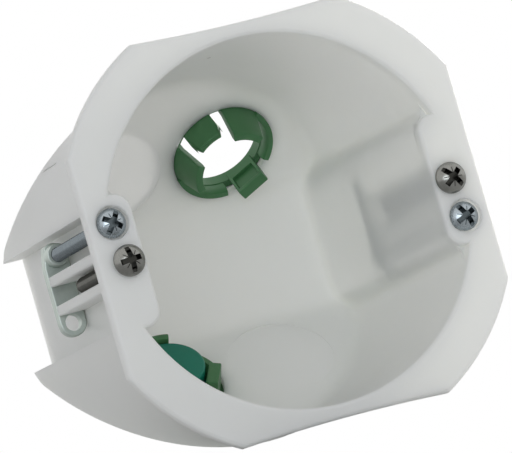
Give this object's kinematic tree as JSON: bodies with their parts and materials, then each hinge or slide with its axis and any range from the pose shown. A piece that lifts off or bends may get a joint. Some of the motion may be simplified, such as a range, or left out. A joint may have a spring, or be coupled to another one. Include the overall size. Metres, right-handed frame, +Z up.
{
  "type": "flush mounting box",
  "caption": "Round hollow-wall flush mounting box with a flat-sided rim, swing-out clamping claws in side channels, device screws and conduit inserts in slanted back faces.",
  "frame": {"origin": "centre of the wall hole in the plane of the wall's face, where the rim's back face rests", "axes": "+X right and +Z up as seen from the room, +Y into the wall along the cup's axis"},
  "size_m": [0.071, 0.0665, 0.071],
  "materials": {
    "box": "satin, milky translucent",
    "claw": "zinc plated",
    "zinc": "bright zinc plated",
    "nickel": "nickel plated",
    "insert": "satin green",
    "plug": "satin teal"
  },
  "bodies": {
    "box": {"box_body": "box", "conduit_insert": "insert", "closed_insert": "insert", "blanking_plug": "plug"},
    "left_claw": {"claw_left": "claw"},
    "right_claw": {"claw_right": "claw"},
    "left_claw_screw": {"claw_screw_left": "zinc"},
    "right_claw_screw": {"claw_screw_right": "zinc"},
    "left_device_screw": {"device_screw_left": "nickel"},
    "right_device_screw": {"device_screw_right": "nickel"}
  },
  "joints": [
    {"name": "left_claw_swing", "type": "hinge", "parent": "box", "child": "left_claw", "pos_m": [-0.0309, 0.0348, 0.0069], "axis": [0, 1, 0], "range_deg": [0, 90]},
    {"name": "right_claw_swing", "type": "hinge", "parent": "box", "child": "right_claw", "pos_m": [0.0309, 0.0348, -0.0069], "axis": [0, 1, 0], "range_deg": [0, 90]},
    {"name": "left_claw_screw_turn", "type": "hinge", "parent": "box", "child": "left_claw_screw", "pos_m": [-0.0309, 0, 0.0069], "axis": [0, 1, 0], "continuous": true},
    {"name": "right_claw_screw_turn", "type": "hinge", "parent": "box", "child": "right_claw_screw", "pos_m": [0.0309, 0, -0.0069], "axis": [0, 1, 0], "continuous": true},
    {"name": "left_device_screw_out", "type": "slide", "parent": "box", "child": "left_device_screw", "axis": [0, -1, 0], "range_m": [0, 0.008]},
    {"name": "right_device_screw_out", "type": "slide", "parent": "box", "child": "right_device_screw", "axis": [0, -1, 0], "range_m": [0, 0.008]}
  ]
}
